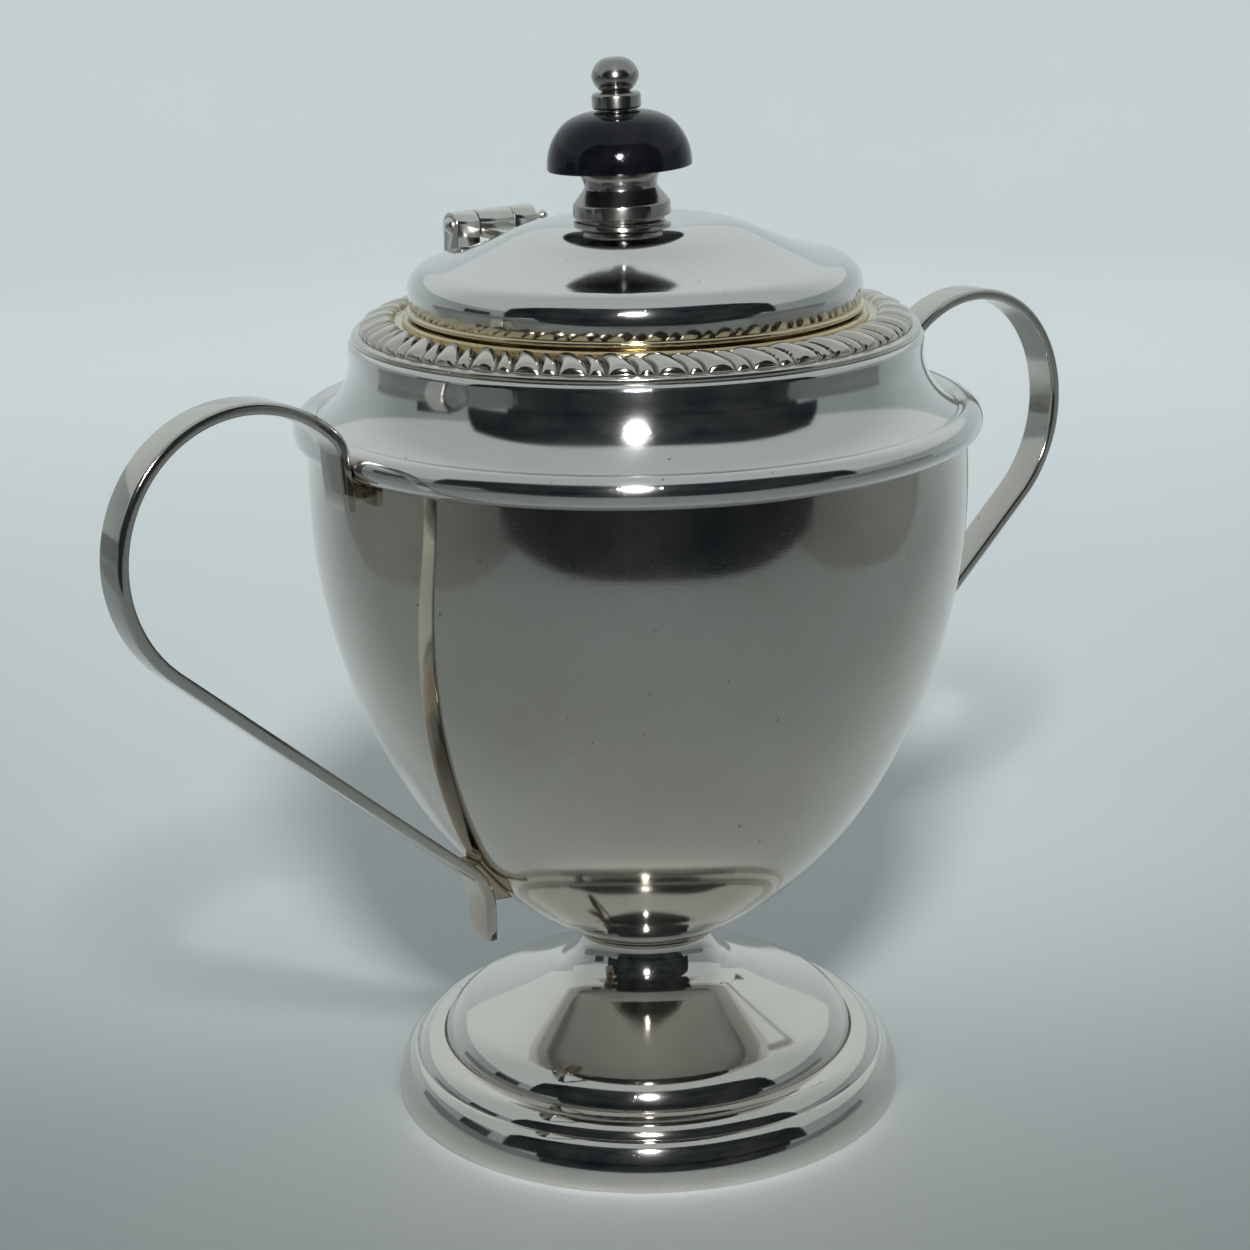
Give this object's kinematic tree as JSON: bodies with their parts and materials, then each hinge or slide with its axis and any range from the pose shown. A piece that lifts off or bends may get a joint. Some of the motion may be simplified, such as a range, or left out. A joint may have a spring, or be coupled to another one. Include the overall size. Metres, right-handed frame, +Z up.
{
  "type": "lidded sugar bowl",
  "caption": "Urn-shaped metal sugar bowl on a round foot with flat strap handles, a gadrooned mouth and a back-hinged domed lid with a dark knob finial.",
  "frame": {"origin": "centre of the foot's resting plane", "axes": "+Z up; the handles lie along X; the lid's hinge is at +Y"},
  "size_m": [0.1578, 0.0926, 0.145],
  "materials": {
    "silver_foot": "polished silver plate, hairline wear",
    "silver_bowl": "polished silver plate, faint warm tarnish",
    "silver_shoulder": "polished silver plate",
    "silver_border": "silver plate with golden tarnish in the grooves",
    "silver_gilded": "polished, golden where the plate has worn",
    "silver_handle": "polished silver plate, worn edges",
    "silver_lid": "polished silver plate, golden tarnish near the edge",
    "hinge_metal": "polished, slightly dull",
    "finial_metal": "polished, darker than the lid",
    "solder": "smooth, golden",
    "steel": "turned",
    "black_knob": "glossy black, like ebony or early plastic"
  },
  "bodies": {
    "bowl": {"foot_ring": "silver_foot", "foot_stem": "silver_foot", "stem_seam": "solder", "bowl_body": "silver_bowl", "shoulder_band": "silver_shoulder", "shoulder_cover": "silver_shoulder", "gadroon_border": "silver_border", "mouth_collar": "silver_gilded", "handle_left": "silver_handle", "handle_right": "silver_handle", "handle_left_upper_solder": "solder", "handle_left_lower_solder": "solder", "handle_right_upper_solder": "solder", "handle_right_lower_solder": "solder", "hinge_bracket": "hinge_metal", "hinge_pin": "hinge_metal"},
    "lid": {"lid_shell": "silver_lid", "lid_edge_wire": "silver_lid", "lid_bezel": "silver_gilded", "hinge_leaf": "hinge_metal", "finial_spool": "finial_metal", "finial_knob": "black_knob", "finial_washer": "finial_metal", "finial_cap": "finial_metal", "finial_stud": "steel", "lid_washer": "steel", "lid_nut": "steel"}
  },
  "joints": [
    {"name": "lid_hinge", "type": "hinge", "parent": "bowl", "child": "lid", "pos_m": [0, 0.034, 0.1203], "axis": [-1, 0, 0], "range_deg": [0, 105]}
  ]
}
